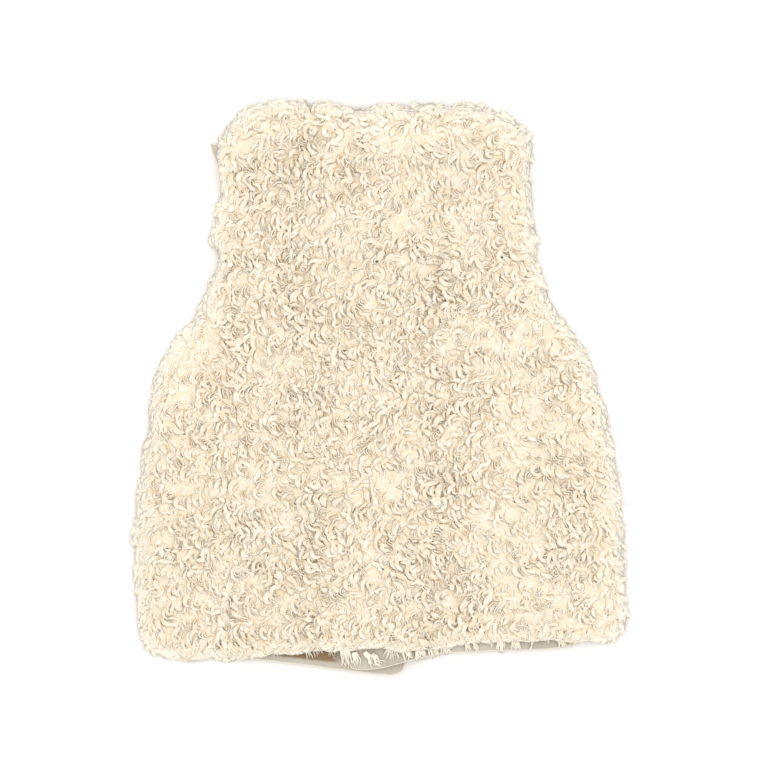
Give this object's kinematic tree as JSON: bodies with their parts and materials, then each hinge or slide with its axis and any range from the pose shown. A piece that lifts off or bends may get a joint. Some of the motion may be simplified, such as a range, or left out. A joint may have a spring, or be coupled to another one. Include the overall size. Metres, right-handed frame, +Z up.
{
  "type": "faux fur vest",
  "caption": "Sleeveless open-front vest of curly cream faux fur with a smooth suede inner side, laid flat with its back up.",
  "frame": {"origin": "under the middle of the garment's bounding box, on the surface that it lies on", "axes": "+X across the garment to the right as seen from above, +Y from the hem to the shoulders, +Z up from the surface"},
  "size_m": [0.5088, 0.6032, 0.0435],
  "materials": {
    "cream_fur": "curly matted pile, soft sheen on the locks",
    "suede_backed_fur": "matte brushed suede on the inner side of the fur cloth"
  },
  "bodies": {
    "root": {"back": "cream_fur", "front_left": "suede_backed_fur", "front_right": "suede_backed_fur"}
  },
  "joints": []
}
